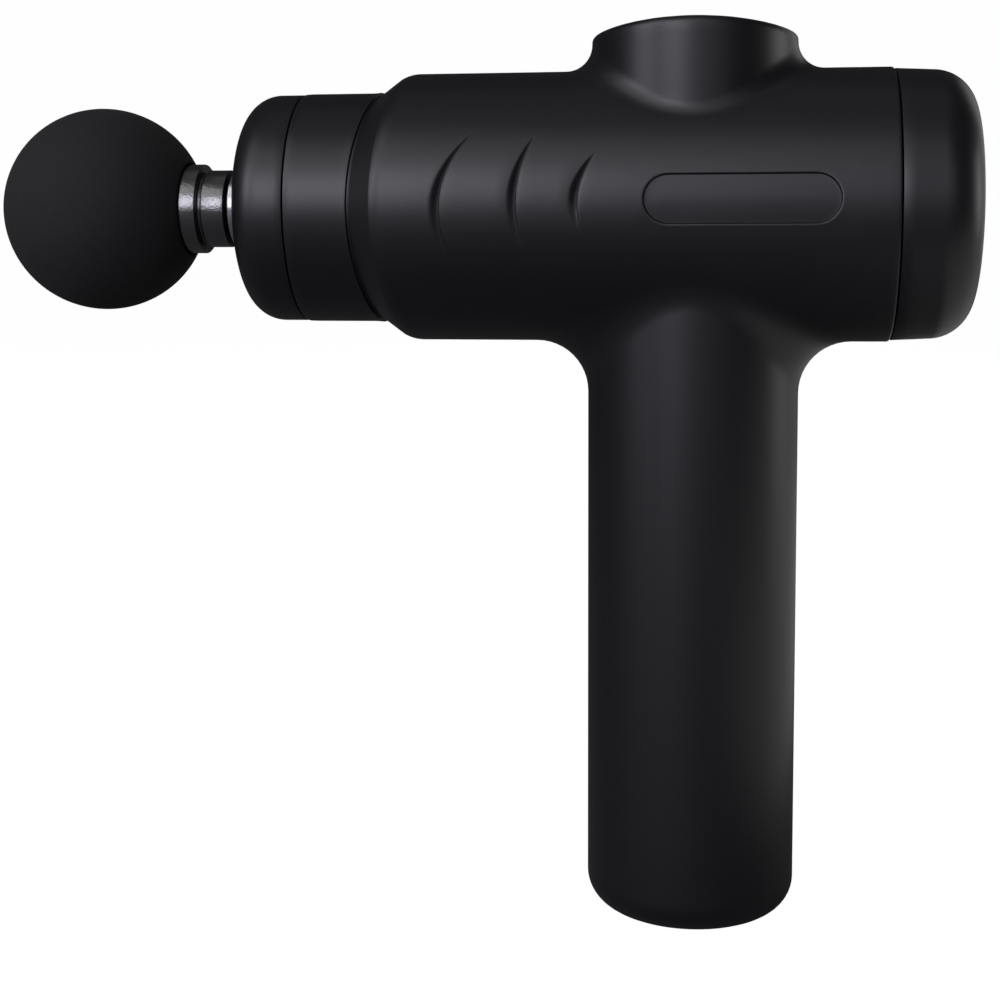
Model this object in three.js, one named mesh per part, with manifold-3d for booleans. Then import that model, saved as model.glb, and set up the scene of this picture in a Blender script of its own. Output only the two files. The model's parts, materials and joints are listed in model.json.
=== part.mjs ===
// Percussive massage gun: a pistol-shaped body with a horizontal barrel (along X), a vertical
// handle (along Z) and a foam ball head at -X. Millimetres, +Z up. The origin is the centre of
// the flat face under the handle.
import * as THREE from "three";
import { mergeVertices } from "three/addons/utils/BufferGeometryUtils.js";
import Module from "manifold-3d";

const wasm = await Module();
wasm.setup();

// ---------------------------------------------------------------- driving dimensions
const GAP = 0.3; // clearance between touching pieces
const BARREL_Z = 171.5; // barrel axis above the base

const WALL = 2.4;
const BARREL_R = 32.2;
const FRONT_R = 27.7; // slimmer front of the barrel
const FRONT_SEAM_X = -94.1;
const REAR_SEAM_X = 46.1;
const FLARE_X = -72.3; // flare edge at the top and bottom of the barrel
const FLARE_SWEEP = 6.7; // how much further forward the edge lies at the sides
const HANDLE_R = 25.2;
const HANDLE_EDGE = 7.8; // rounding under the handle
const HANDLE_FILLET = 12.4;
const BUMP_R = 24.3; // motor dome on top of the barrel
const BUMP_TOP = 42.6;
const BUMP_EDGE = 6.6;
const BUMP_CROWN = 2.0;
const BUMP_FILLET = 6.5;

const NOSE_FACE_X = -108.1;
const NOSE_EDGE = 8;
const REAR_FACE_X = 64.9;
const REAR_EDGE = 10;
const LENS_R = 20;

const BALL_R = 25;
const BALL_X = -146.5;
const BALL_FLAT_X = -124.4; // where the ball rests on the collar
const COLLAR_R = 11;
const COLLAR_X = -120.4;
const NECK_R = 8.6;
const LIP_X = -119.3;
const LIP_R = 9.5;
const SHANK_X = -113.7;
const SHANK_R = 6.3;
const SHANK_END_X = -95.5;

const PLUNGER_R = 9.4;
const PLUNGER_FACE_X = -112.75;
const PLUNGER_BORE_R = 7.15;
const PLUNGER_BORE_END_X = -92;
const PLUNGER_END_X = -30;
const LINER_R = 11.5;

const CRANK_THROW = 5; // half the 10 mm stroke
const ROD_LENGTH = 42;
const ROD_HALF = 3; // half the rod's thickness
const WRIST_X = CRANK_THROW - ROD_LENGTH;
const PIN_R = 2.5;
const CRANK_PIN_R = 3;
const CRANK_Z = 5.5; // underside of the crank disc
const CRANK_T = 6;
const FRAME_R = 23;
const FRAME_TUBE_R = 15;
const FRAME_BOTTOM = -13;
const FRAME_TOP = 16.5;
const CHAMBER_R = 20;

const SHAFT_R = 2.5;
const BELL_R = 20;
const BELL_BOTTOM = 20.5;
const BELL_TOP = 38.4;
const STATOR_R = 15.6;
const STATOR_Z = 23.1;
const STATOR_H = 8.6;
const TEETH = 9;

const CELL_R = 9.1;
const CELL_H = 65;
const CELL_PITCH = (2 * CELL_R + GAP) / Math.sqrt(3); // cell axis to battery axis
const BOARD_T = 1.6;
const BATTERY_BOARD_Z = 12.3;
const PACK_R = 22.2;
const PACK_Z = 18; // underside of the battery pack

const ROCKER_X = -7.5;
const ROCKER_PIVOT_Z = 4.6;
const ROCKER_TILT = THREE.MathUtils.degToRad(8);
const JACK_X = 8;
const PLATE_R = 15.7;

const ROUND = 32; // facets round the large surfaces
const MEDIUM = 20;
const FINE = 12; // facets round small pieces

// ---------------------------------------------------------------- materials
function material(color, roughness, metalness = 0) {
  return new THREE.MeshStandardMaterial({ color, roughness, metalness });
}
const LOOK = {
  shell: material(0x2b2b2f, 0.62),
  foam: material(0x141416, 0.95),
  darkPlastic: material(0x1c1c1f, 0.55),
  gloss: material(0x0c0c0e, 0.12),
  rubber: material(0x18181a, 0.85),
  steel: material(0xb9bcc0, 0.25, 1),
  aluminium: material(0xa8abb0, 0.38, 1),
  copper: material(0xb06a3a, 0.4, 1),
  nickel: material(0xc9c6bd, 0.3, 1),
  magnet: material(0x55575c, 0.45, 1),
  cell: material(0x2f6f63, 0.5),
  board: material(0x14432a, 0.55),
  redLead: material(0x9c1f1c, 0.5),
  blackLead: material(0x151515, 0.5),
  yellowLead: material(0xc79a1c, 0.5),
};

// ---------------------------------------------------------------- geometry helpers
// Merges shared vertices, drops collapsed triangles and turns the faces outward.
function closed(geometry) {
  const plain = geometry.clone();
  plain.deleteAttribute("normal");
  plain.deleteAttribute("uv");
  const merged = mergeVertices(plain, 1e-4);
  const index = merged.index.array;
  const p = merged.attributes.position;
  const kept = [];
  let volume = 0;
  const [a, b, c] = [new THREE.Vector3(), new THREE.Vector3(), new THREE.Vector3()];
  for (let i = 0; i < index.length; i += 3) {
    const [u, v, w] = [index[i], index[i + 1], index[i + 2]];
    if (u === v || v === w || w === u) continue;
    kept.push(u, v, w);
    volume += a.fromBufferAttribute(p, u).dot(b.fromBufferAttribute(p, v).cross(c.fromBufferAttribute(p, w)));
  }
  if (volume < 0) kept.reverse();
  merged.setIndex(kept);
  return merged;
}

function solid(geometry) {
  const g = closed(geometry);
  const vertProperties = Float32Array.from(g.attributes.position.array);
  const triVerts = Uint32Array.from(g.index.array);
  return new wasm.Manifold(new wasm.Mesh({ numProp: 3, vertProperties, triVerts }));
}

function geometryOf(manifold) {
  const mesh = manifold.getMesh();
  const g = new THREE.BufferGeometry();
  g.setAttribute("position", new THREE.BufferAttribute(Float32Array.from(mesh.vertProperties), 3));
  g.setIndex(new THREE.BufferAttribute(Uint32Array.from(mesh.triVerts), 1));
  g.computeVertexNormals();
  return g;
}

// Points of a quarter (or other) circle in a profile's [radius, height] plane, angles in degrees.
function arc(centreR, centreH, radius, from, to, steps) {
  const points = [];
  for (let i = 0; i <= steps; i++) {
    const t = THREE.MathUtils.degToRad(from + ((to - from) * i) / steps);
    points.push([centreR + radius * Math.cos(t), centreH + radius * Math.sin(t)]);
  }
  return points;
}

function lathe(profile, segments) {
  return new THREE.LatheGeometry(profile.map(([r, h]) => new THREE.Vector2(r, h)), segments);
}
const latheX = (profile, segments) => lathe(profile, segments).rotateZ(-Math.PI / 2);
const latheZ = (profile, segments) => lathe(profile, segments).rotateX(Math.PI / 2);

// A plain ring or tube: the profile closes on itself.
function ringProfile(inner, outer, from, to) {
  return [[inner, from], [outer, from], [outer, to], [inner, to], [inner, from]];
}
const ringX = (inner, outer, from, to, segments) => latheX(ringProfile(inner, outer, from, to), segments);
const ringZ = (inner, outer, from, to, segments) => latheZ(ringProfile(inner, outer, from, to), segments);

function rodProfile(radius, from, to) {
  return [[0, from], [radius, from], [radius, to], [0, to]];
}
const rodX = (radius, from, to, segments) => latheX(rodProfile(radius, from, to), segments);
const rodZ = (radius, from, to, segments) => latheZ(rodProfile(radius, from, to), segments);

function box(x0, x1, y0, y1, z0, z1) {
  const g = new THREE.BoxGeometry(x1 - x0, y1 - y0, z1 - z0);
  return g.translate((x0 + x1) / 2, (y0 + y1) / 2, (z0 + z1) / 2);
}

// A flat outline in XY, extruded upwards from z.
function plate(shape, z, thickness, curveSegments = 6) {
  const settings = { depth: thickness, bevelEnabled: false, curveSegments };
  return new THREE.ExtrudeGeometry(shape, settings).translate(0, 0, z);
}

function lead(points, radius, steps) {
  const section = new THREE.Shape().absarc(0, 0, radius, 0, 2 * Math.PI);
  const path = new THREE.CatmullRomCurve3(points.map(([x, y, z]) => new THREE.Vector3(x, y, z)), false, "centripetal");
  return new THREE.ExtrudeGeometry(section, { steps, extrudePath: path, curveSegments: 3, bevelEnabled: false });
}

function mesh(name, geometry, look) {
  const m = new THREE.Mesh(closed(geometry), look);
  m.name = name;
  return m;
}

// ---------------------------------------------------------------- outer body
// Rolling-ball fillet between a vertical post and the horizontal barrel. side is 1 above, -1 below.
function filletRing(postR, ballR, side) {
  const STEPS = 5;
  const INSET = 2;
  const sections = [];
  for (let i = 0; i < ROUND; i++) {
    const phi = (2 * Math.PI * i) / ROUND;
    const out = new THREE.Vector3(Math.cos(phi), Math.sin(phi), 0);
    const centre = out.clone().multiplyScalar(postR + ballR);
    centre.z = side * Math.sqrt((BARREL_R + ballR) ** 2 - centre.y ** 2);
    const onPost = out.clone().multiplyScalar(-1);
    const onBarrel = new THREE.Vector3(0, -centre.y, -centre.z).normalize();
    const angle = onPost.angleTo(onBarrel);
    const section = [out.clone().multiplyScalar(postR - INSET).setZ(centre.z)];
    for (let k = 0; k <= STEPS; k++) {
      const t = k / STEPS;
      const direction = onPost.clone().multiplyScalar(Math.sin((1 - t) * angle))
        .addScaledVector(onBarrel, Math.sin(t * angle))
        .divideScalar(Math.sin(angle));
      section.push(centre.clone().addScaledVector(direction, ballR));
    }
    section.push(centre.clone().addScaledVector(onBarrel, ballR + INSET));
    const inner = out.clone().multiplyScalar(postR - INSET);
    inner.z = side * Math.sqrt((BARREL_R - INSET) ** 2 - inner.y ** 2);
    section.push(inner);
    sections.push(section);
  }
  const count = sections[0].length;
  const positions = sections.flat().flatMap((p) => [p.x, p.y, p.z]);
  const index = [];
  for (let i = 0; i < ROUND; i++) {
    for (let k = 0; k < count; k++) {
      const a = i * count + k;
      const b = i * count + ((k + 1) % count);
      const c = ((i + 1) % ROUND) * count + k;
      const d = ((i + 1) % ROUND) * count + ((k + 1) % count);
      index.push(a, b, c, c, b, d);
    }
  }
  const g = new THREE.BufferGeometry();
  g.setAttribute("position", new THREE.Float32BufferAttribute(positions, 3));
  g.setIndex(index);
  return g;
}

// The barrel's outside. The flare's edge sweeps forward at the sides of the barrel.
function barrelGeometry() {
  const seam = GAP / 2;
  const dip = 0.6;
  const g = latheX([
    [0, FRONT_SEAM_X + seam],
    [FRONT_R, FRONT_SEAM_X + seam],
    [FRONT_R + 0.1, FLARE_X],
    [FRONT_R - dip, FLARE_X + 0.3],
    [FRONT_R - dip, FLARE_X + 0.9],
    [FRONT_R + 1.8, FLARE_X + 3],
    [BARREL_R - 1.0, FLARE_X + 5],
    [BARREL_R - 0.2, FLARE_X + 7.2],
    [BARREL_R, FLARE_X + 10],
    [BARREL_R, 0],
    [BARREL_R - 0.2, REAR_SEAM_X - seam],
    [0, REAR_SEAM_X - seam],
  ], ROUND);
  const p = g.attributes.position;
  for (let i = 0; i < p.count; i++) {
    const x = p.getX(i);
    const r = Math.hypot(p.getY(i), p.getZ(i));
    if (r < 1 || x < FLARE_X - 1 || x > FLARE_X + 8) continue;
    const toSide = p.getY(i) / r;
    p.setX(i, x - FLARE_SWEEP * toSide * toSide);
  }
  return g;
}

function handleGeometry() {
  const edge = arc(HANDLE_R - HANDLE_EDGE, HANDLE_EDGE - BARREL_Z, HANDLE_EDGE, -90, 0, 6);
  return latheZ([[0, -BARREL_Z], ...edge, [HANDLE_R, -5], [0, -5]], ROUND);
}

function bumpGeometry(inset) {
  const r = BUMP_R - inset;
  const edge = Math.max(BUMP_EDGE - inset, 1);
  const crown = arc(r - edge, BUMP_TOP - inset - edge, edge, 0, 75, 5);
  return latheZ([[0, 5], [r, 5], ...crown, [0, BUMP_TOP - inset + BUMP_CROWN]], inset ? MEDIUM : ROUND);
}

// A groove shaped like a thin moon: two arcs from top to bottom, through mid and mid - width.
function crescent([topX, topZ], [midX, midZ], [bottomX, bottomZ], width) {
  const shape = new THREE.Shape();
  shape.moveTo(topX, topZ);
  const bulge = (x) => 2 * x - (topX + bottomX) / 2;
  const bulgeZ = 2 * midZ - (topZ + bottomZ) / 2;
  shape.quadraticCurveTo(bulge(midX), bulgeZ, bottomX, bottomZ);
  shape.quadraticCurveTo(bulge(midX - width), bulgeZ, topX, topZ);
  return shape;
}

function slot(x0, x1, z, halfHeight) {
  const shape = new THREE.Shape();
  shape.absarc(x1 - halfHeight, z, halfHeight, -Math.PI / 2, Math.PI / 2);
  shape.absarc(x0 + halfHeight, z, halfHeight, Math.PI / 2, 1.5 * Math.PI);
  return shape;
}

// Shallow marks on both sides of the barrel, each cut to a depth below the surface.
function sideMarks() {
  const GROOVE_DEPTH = 0.9;
  const RECESS_DEPTH = 0.6;
  const marks = [
    [crescent([-48.0, 16.2], [-56.1, 1.0], [-53.6, -13.5], 2.0), GROOVE_DEPTH],
    [crescent([-35.0, 15.6], [-38.8, 1.5], [-37.7, -8.2], 1.7), GROOVE_DEPTH],
    [crescent([-21.3, 11.6], [-25.2, 1.5], [-24.8, -4.2], 1.6), GROOVE_DEPTH],
    [slot(-10.4, 33.2, 1.55, 5.35), RECESS_DEPTH],
  ];
  return marks.map(([shape, depth]) => {
    const across = 2 * BARREL_R + 10;
    const prism = plate(shape, -across / 2, across, 5).rotateX(Math.PI / 2);
    return solid(prism).subtract(solid(rodX(BARREL_R - depth, -70, 45, ROUND)));
  });
}

function bodyManifold() {
  let body = solid(barrelGeometry())
    .add(solid(handleGeometry()))
    .add(solid(filletRing(HANDLE_R, HANDLE_FILLET, -1)))
    .add(solid(bumpGeometry(0)))
    .add(solid(filletRing(BUMP_R, BUMP_FILLET, 1)));
  for (const mark of sideMarks()) body = body.subtract(mark);
  const inner = solid(rodX(BARREL_R - WALL, FLARE_X + 4, REAR_SEAM_X + 5, MEDIUM))
    .add(solid(rodX(FRONT_R - WALL, FRONT_SEAM_X - 5, 0, MEDIUM)))
    .add(solid(rodZ(HANDLE_R - WALL, HANDLE_EDGE - BARREL_Z, 0, MEDIUM)))
    .add(solid(bumpGeometry(WALL)))
    .add(solid(rodZ(PLATE_R + 4.6, 2.2 - BARREL_Z, 0, MEDIUM)))
    .add(solid(rodZ(PLATE_R + GAP, -BARREL_Z - 5, 0, MEDIUM)));
  return body.subtract(inner);
}

function bodyShells() {
  const body = bodyManifold();
  const reach = 250;
  const half = (y0, y1) => geometryOf(body.intersect(solid(box(-reach, reach, y0, y1, -reach, reach))));
  return [
    mesh("body_shell_near", half(-reach, -GAP / 2), LOOK.shell),
    mesh("body_shell_far", half(GAP / 2, reach), LOOK.shell),
  ];
}

function noseCap() {
  const back = FRONT_SEAM_X - GAP / 2;
  const outerR = FRONT_R - 0.15;
  const hole = PLUNGER_R + 0.9;
  const pocket = LINER_R + 1.6;
  const rounded = arc(outerR - NOSE_EDGE, NOSE_FACE_X + NOSE_EDGE, NOSE_EDGE, 0, -90, 5);
  return mesh("nose_cap", latheX([
    [outerR - WALL, back],
    [outerR, back],
    ...rounded,
    [hole, NOSE_FACE_X],
    [hole, NOSE_FACE_X + 1.1],
    [pocket, NOSE_FACE_X + 1.1],
    [pocket, NOSE_FACE_X + 4.6],
    [outerR - NOSE_EDGE, NOSE_FACE_X + 4.6],
    [outerR - WALL, NOSE_FACE_X + NOSE_EDGE],
    [outerR - WALL, back],
  ], ROUND), LOOK.shell);
}

function rearCap() {
  const front = REAR_SEAM_X + GAP / 2;
  const outerR = BARREL_R - 0.4;
  const rounded = arc(outerR - REAR_EDGE, REAR_FACE_X - REAR_EDGE, REAR_EDGE, 0, 90, 5);
  return mesh("rear_cap", latheX([
    [outerR - WALL, front],
    [outerR + 0.1, front],
    ...rounded,
    [LENS_R + GAP, REAR_FACE_X + 0.1],
    [LENS_R + GAP, REAR_FACE_X - 2.9],
    [LENS_R - 2, REAR_FACE_X - 2.9],
    [LENS_R - 2, REAR_FACE_X - 4.4],
    [outerR - REAR_EDGE, REAR_FACE_X - 4.4],
    [outerR - WALL, REAR_FACE_X - REAR_EDGE - 0.5],
    [outerR - WALL, front],
  ], ROUND), LOOK.shell);
}

function rearDisplay() {
  const lensBack = REAR_FACE_X - 2.6;
  const lens = latheX([
    [0, lensBack],
    [LENS_R, lensBack],
    [LENS_R, REAR_FACE_X],
    [LENS_R * 0.6, REAR_FACE_X + 0.25],
    [0, REAR_FACE_X + 0.35],
  ], ROUND);
  const boardX = REAR_FACE_X - 7;
  return [
    mesh("display_lens", lens, LOOK.gloss),
    mesh("display_board", rodX(LENS_R - 2.5, boardX, boardX + BOARD_T, MEDIUM), LOOK.board),
  ];
}

const CONTROL_BOARD_X = REAR_SEAM_X + 2.6;
function controlBoard() {
  const chips = [[-8, 8, 9], [7, 10, 7], [9, -9, 6], [-9, -10, 8]];
  let board = solid(rodX(26.5, CONTROL_BOARD_X, CONTROL_BOARD_X + BOARD_T, MEDIUM));
  for (const [y, z, size] of chips) {
    const top = CONTROL_BOARD_X + BOARD_T + 1.8;
    board = board.add(solid(box(CONTROL_BOARD_X + 1, top, y - size / 2, y + size / 2, z - size / 2, z + size / 2)));
  }
  return mesh("control_board", geometryOf(board), LOOK.board);
}

// ---------------------------------------------------------------- massage head
function headBall() {
  const flatAngle = THREE.MathUtils.radToDeg(Math.acos((BALL_FLAT_X - BALL_X) / BALL_R));
  const socketR = 8;
  const profile = arc(0, BALL_X, BALL_R, -90, 90 - flatAngle, 12);
  profile[0] = [0, BALL_X - BALL_R];
  return mesh("head_ball", latheX([
    ...profile,
    [socketR + GAP, BALL_FLAT_X],
    [socketR + GAP, BALL_X + 6],
    [0, BALL_X + 6],
  ], MEDIUM), LOOK.foam);
}

const O_RING_X = [-107, -100.5];
const O_RING_TUBE = 0.75;
const O_RING_R = 6;
function headStem() {
  const groove = (x) => [
    [SHANK_R, x - 1.1],
    [O_RING_R - O_RING_TUBE - 0.2, x - 1.1],
    [O_RING_R - O_RING_TUBE - 0.2, x + 1.1],
    [SHANK_R, x + 1.1],
  ];
  return mesh("head_stem", latheX([
    [0, BALL_X + 6.3],
    [8, BALL_X + 6.3],
    [8, BALL_FLAT_X + GAP],
    [COLLAR_R - 0.2, BALL_FLAT_X + GAP],
    [COLLAR_R, BALL_FLAT_X + 2 * GAP],
    [COLLAR_R, COLLAR_X - 0.3],
    [COLLAR_R - 0.3, COLLAR_X],
    [NECK_R, COLLAR_X],
    [NECK_R, LIP_X],
    [LIP_R, LIP_X],
    [LIP_R, SHANK_X - 0.5],
    [LIP_R - 0.5, SHANK_X],
    [SHANK_R, SHANK_X],
    ...groove(O_RING_X[0]),
    ...groove(O_RING_X[1]),
    [SHANK_R, SHANK_END_X - 1.5],
    [SHANK_R - 0.8, SHANK_END_X],
    [0, SHANK_END_X],
  ], MEDIUM), LOOK.darkPlastic);
}

function oRings() {
  return O_RING_X.map((x, i) => {
    const ring = new THREE.TorusGeometry(O_RING_R, O_RING_TUBE, 6, MEDIUM).rotateY(Math.PI / 2);
    const m = mesh(`stem_o_ring_${i + 1}`, ring, LOOK.rubber);
    m.position.x = x;
    return m;
  });
}

// ---------------------------------------------------------------- plunger, rod and crank
function plunger() {
  const bar = solid(latheX([
    [0, PLUNGER_END_X],
    [PLUNGER_R - 0.5, PLUNGER_END_X],
    [PLUNGER_R, PLUNGER_END_X - 0.5],
    [PLUNGER_R, PLUNGER_FACE_X + 0.4],
    [PLUNGER_R - 0.4, PLUNGER_FACE_X],
    [PLUNGER_BORE_R + 0.4, PLUNGER_FACE_X],
    [PLUNGER_BORE_R, PLUNGER_FACE_X + 0.4],
    [PLUNGER_BORE_R, PLUNGER_BORE_END_X],
    [0, PLUNGER_BORE_END_X],
  ], MEDIUM));
  const slotHalf = ROD_HALF + 0.4;
  const fork = solid(box(WRIST_X - 7.5, PLUNGER_END_X + 2, -12, 12, -slotHalf, slotHalf));
  const pinHole = solid(rodZ(PIN_R + GAP, -15, 15, FINE).translate(WRIST_X, 0, 0));
  return mesh("plunger", geometryOf(bar.subtract(fork).subtract(pinHole)), LOOK.steel);
}

function connectingRod() {
  const BIG_R = 10.5;
  const SMALL_R = 6;
  const WAIST = 4;
  const BEARING_R = 8;
  const shape = new THREE.Shape();
  const neckBig = Math.asin(WAIST / BIG_R);
  const neckSmall = Math.asin(WAIST / SMALL_R);
  shape.absarc(CRANK_THROW, 0, BIG_R, -Math.PI + neckBig, Math.PI - neckBig);
  shape.absarc(WRIST_X, 0, SMALL_R, neckSmall, 2 * Math.PI - neckSmall);
  shape.closePath();
  shape.holes.push(new THREE.Path().absarc(CRANK_THROW, 0, BEARING_R, 0, 2 * Math.PI));
  shape.holes.push(new THREE.Path().absarc(WRIST_X, 0, PIN_R + GAP, 0, 2 * Math.PI));
  const pin = rodZ(PIN_R, -8.6, 8.6, FINE);
  const parts = [
    mesh("connecting_rod", plate(shape, -ROD_HALF, 2 * ROD_HALF, 12), LOOK.aluminium),
    mesh("big_end_bearing", ringZ(CRANK_PIN_R + GAP, BEARING_R - GAP, -2.6, 2.6, MEDIUM), LOOK.steel),
    mesh("crank_pin", rodZ(CRANK_PIN_R, -ROD_HALF - 0.6, CRANK_Z - GAP, FINE), LOOK.steel),
    mesh("wrist_pin", pin, LOOK.steel),
  ];
  parts[1].position.x = CRANK_THROW;
  parts[2].position.x = CRANK_THROW;
  parts[3].position.x = WRIST_X;
  return parts;
}

function crankDisc() {
  const DISC_R = 12;
  const WEIGHT_R = 18.5;
  const SPREAD = THREE.MathUtils.degToRad(62);
  const shape = new THREE.Shape();
  shape.absarc(0, 0, DISC_R, -Math.PI + SPREAD, Math.PI - SPREAD);
  shape.absarc(0, 0, WEIGHT_R, Math.PI - SPREAD, Math.PI + SPREAD);
  shape.closePath();
  shape.holes.push(new THREE.Path().absarc(0, 0, SHAFT_R + GAP, 0, 2 * Math.PI));
  return mesh("crank_disc", plate(shape, CRANK_Z, CRANK_T, 12), LOOK.steel);
}

const SCREW_RADIUS = 11;
const SCREW_ANGLES = [90, 210, 330].map(THREE.MathUtils.degToRad);
function screwHoles(from, to) {
  return SCREW_ANGLES.map((a) =>
    solid(rodZ(1.25 + GAP, from, to, 12).translate(SCREW_RADIUS * Math.cos(a), SCREW_RADIUS * Math.sin(a), 0)));
}

function driveFrame() {
  const TUBE_END_X = -88;
  const BORE_R = LINER_R + GAP;
  const HUB_R = 6.5;
  let frame = solid(rodZ(FRAME_R, FRAME_BOTTOM, FRAME_TOP, ROUND))
    .add(solid(rodX(FRAME_TUBE_R, TUBE_END_X, 0, MEDIUM)))
    .subtract(solid(rodZ(CHAMBER_R, FRAME_BOTTOM + 2.5, FRAME_TOP - 4.2, MEDIUM)))
    .subtract(solid(rodX(BORE_R, TUBE_END_X - 5, -5, MEDIUM)))
    .subtract(solid(rodZ(HUB_R, FRAME_TOP - 10, FRAME_TOP + 5, FINE)));
  for (const hole of screwHoles(FRAME_TOP - 3.8, FRAME_TOP + 5)) frame = frame.subtract(hole);
  return mesh("drive_frame", geometryOf(frame), LOOK.aluminium);
}

function barrelRings() {
  const sealR = LINER_R + 1.3;
  return [
    mesh("cylinder_liner", ringX(PLUNGER_R + GAP, LINER_R, NOSE_FACE_X + 4.6, -27, MEDIUM), LOOK.steel),
    mesh("front_seal", ringX(PLUNGER_R + GAP, sealR, NOSE_FACE_X + 1.4, NOSE_FACE_X + 4.3, MEDIUM), LOOK.rubber),
    mesh("front_damper", ringX(FRAME_TUBE_R + GAP, FRONT_R - WALL - GAP, -86, -79, MEDIUM), LOOK.rubber),
  ];
}

function sideDampers() {
  return [["near", -1], ["far", 1]].map(([side, sign]) => {
    const pad = rodX(5, FRAME_R + GAP, BARREL_R - WALL - 0.9, FINE).rotateZ((sign * Math.PI) / 2);
    return mesh(`side_damper_${side}`, pad, LOOK.rubber);
  });
}

// ---------------------------------------------------------------- motor
function motorBase() {
  const z = FRAME_TOP + GAP;
  let base = solid(latheZ([
    [4.9, z],
    [15, z],
    [15, z + 2.5],
    [6.2, z + 2.5],
    [6.2, 36],
    [4.9, 36],
    [4.9, z],
  ], MEDIUM));
  for (const hole of screwHoles(z - 5, z + 5)) base = base.subtract(hole);
  return mesh("motor_base", geometryOf(base), LOOK.aluminium);
}

function motorScrews() {
  const head = FRAME_TOP + GAP + 2.5 + 0.2;
  return SCREW_ANGLES.map((angle, i) => {
    const screw = latheZ([[0, FRAME_TOP - 3.5], [1.25, FRAME_TOP - 3.5], [1.25, head], [2.4, head], [2.4, head + 1.2],
      [0, head + 1.2]], 12);
    const m = mesh(`motor_screw_${i + 1}`, screw, LOOK.steel);
    m.position.set(SCREW_RADIUS * Math.cos(angle), SCREW_RADIUS * Math.sin(angle), 0);
    return m;
  });
}

// Stator: a ring with T-shaped teeth, and the winding that fills the slots between them.
function stator() {
  const ROOT_R = 8.6;
  const STEM_HALF = 1.5;
  const TIP_R = 14;
  const TIP_HALF = THREE.MathUtils.degToRad(16.5);
  const outline = [];
  for (let k = 0; k < TEETH; k++) {
    const at = (2 * Math.PI * k) / TEETH;
    const stemAt = (r, side) => at + side * Math.asin(STEM_HALF / r);
    const corners = [
      [ROOT_R, stemAt(ROOT_R, -1)],
      [TIP_R, stemAt(TIP_R, -1)],
      [TIP_R, at - TIP_HALF],
      [STATOR_R, at - TIP_HALF],
      [STATOR_R, at],
      [STATOR_R, at + TIP_HALF],
      [TIP_R, at + TIP_HALF],
      [TIP_R, stemAt(TIP_R, 1)],
      [ROOT_R, stemAt(ROOT_R, 1)],
    ];
    for (const [r, angle] of corners) outline.push(new THREE.Vector2(r * Math.cos(angle), r * Math.sin(angle)));
  }
  const shape = new THREE.Shape(outline);
  shape.holes.push(new THREE.Path().absarc(0, 0, 6.9, 0, 2 * Math.PI));
  const core = mesh("stator_core", plate(shape, STATOR_Z, STATOR_H, 5), LOOK.magnet);

  const low = STATOR_Z - GAP;
  const high = STATOR_Z + STATOR_H + GAP;
  let winding = solid(ringZ(8.8, 13.6, low - 1.7, low, MEDIUM)).add(solid(ringZ(8.8, 13.6, high, high + 2.2, MEDIUM)));
  for (let k = 0; k < TEETH; k++) {
    const bar = box(9.2, 13.2, -1.2, 1.2, low - 1, high + 1);
    winding = winding.add(solid(bar.rotateZ((2 * Math.PI * (k + 0.5)) / TEETH)));
  }
  return [core, mesh("stator_winding", geometryOf(winding), LOOK.copper)];
}

function rotor() {
  const wall = 1.4;
  const bell = latheZ([
    [SHAFT_R + GAP, BELL_TOP - 2],
    [BELL_R - wall, BELL_TOP - 2],
    [BELL_R - wall, BELL_BOTTOM],
    [BELL_R, BELL_BOTTOM],
    [BELL_R, BELL_TOP - 1.2],
    [BELL_R - 1.2, BELL_TOP],
    [SHAFT_R + GAP, BELL_TOP],
    [SHAFT_R + GAP, BELL_TOP - 2],
  ], MEDIUM);
  return [
    mesh("rotor_bell", bell, LOOK.aluminium),
    mesh("magnet_ring", ringZ(STATOR_R + 0.5, BELL_R - wall - GAP, BELL_BOTTOM + 0.5, 35, MEDIUM), LOOK.magnet),
    mesh("motor_shaft", rodZ(SHAFT_R, CRANK_Z + 0.1, BELL_TOP + 0.7, FINE), LOOK.steel),
    mesh("shaft_bearing_lower", ringZ(SHAFT_R + GAP, 6.2, FRAME_TOP - 3.6, FRAME_TOP - 0.4, FINE), LOOK.steel),
    mesh("shaft_bearing_upper", ringZ(SHAFT_R + GAP, 4.6, 31, 35, FINE), LOOK.steel),
  ];
}

function motorLeads() {
  const looks = [LOOK.redLead, LOOK.yellowLead, LOOK.blackLead];
  return [-5, 0, 5].map((y, i) => {
    const route = [[15.6, y, 18.1], [24, y, 18.1], [34, y, 14], [CONTROL_BOARD_X - GAP, y, 12]];
    return mesh(`motor_lead_${i + 1}`, lead(route, 0.9, 12), looks[i]);
  });
}

// ---------------------------------------------------------------- handle
function endPlate() {
  const LIP_T = 2.4;
  const rockerHole = box(ROCKER_X - 4.5, ROCKER_X + 4.5, -7.3, 7.3, -5, 15);
  const jackHole = rodZ(5.1, -5, 15, MEDIUM).translate(JACK_X, 0, 0);
  const disc = solid(latheZ([
    [0, 0],
    [PLATE_R, 0],
    [PLATE_R, 2.2 + GAP],
    [PLATE_R + 4.2, 2.2 + GAP],
    [PLATE_R + 4.2, 2.2 + LIP_T],
    [0, 2.2 + LIP_T],
  ], MEDIUM));
  return mesh("handle_end_plate", geometryOf(disc.subtract(solid(rockerHole)).subtract(solid(jackHole))),
    LOOK.darkPlastic);
}

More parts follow.
